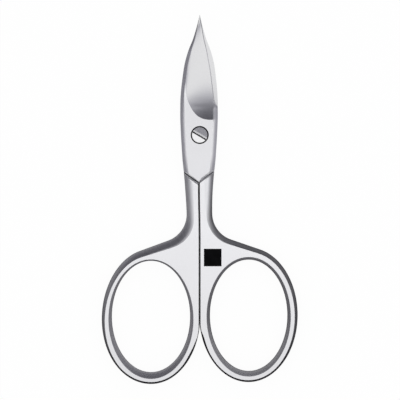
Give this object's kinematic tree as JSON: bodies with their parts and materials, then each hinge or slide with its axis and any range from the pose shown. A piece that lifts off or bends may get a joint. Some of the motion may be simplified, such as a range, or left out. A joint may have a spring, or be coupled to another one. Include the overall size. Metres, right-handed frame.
{
  "type": "nail scissors",
  "caption": "Curved steel nail scissors: crossed forged halves with hollow-ground blades and finger loops, turning on a slotted pivot screw.",
  "frame": {"origin": "middle of the closed scissors' plan, on the surface that they lie on", "axes": "+X to the right bow seen from the front, +Y towards the blade tips, +Z out of the front face"},
  "size_m": [0.0478, 0.09, 0.0075],
  "materials": {
    "front_steel": "satin ground faces",
    "back_steel": "satin ground faces",
    "screw_steel": "turned and polished",
    "black_enamel": "plain dark enamel"
  },
  "bodies": {
    "back_half_body": {"back_half": "back_steel", "pivot_screw": "screw_steel"},
    "front_half_body": {"front_half": "front_steel", "enamel_inlay": "black_enamel"}
  },
  "joints": [
    {"name": "pivot", "type": "hinge", "parent": "back_half_body", "child": "front_half_body", "pos_m": [0, 0.0158, 0.0019], "axis": [0, 0, 1], "range_deg": [0, 120]}
  ]
}
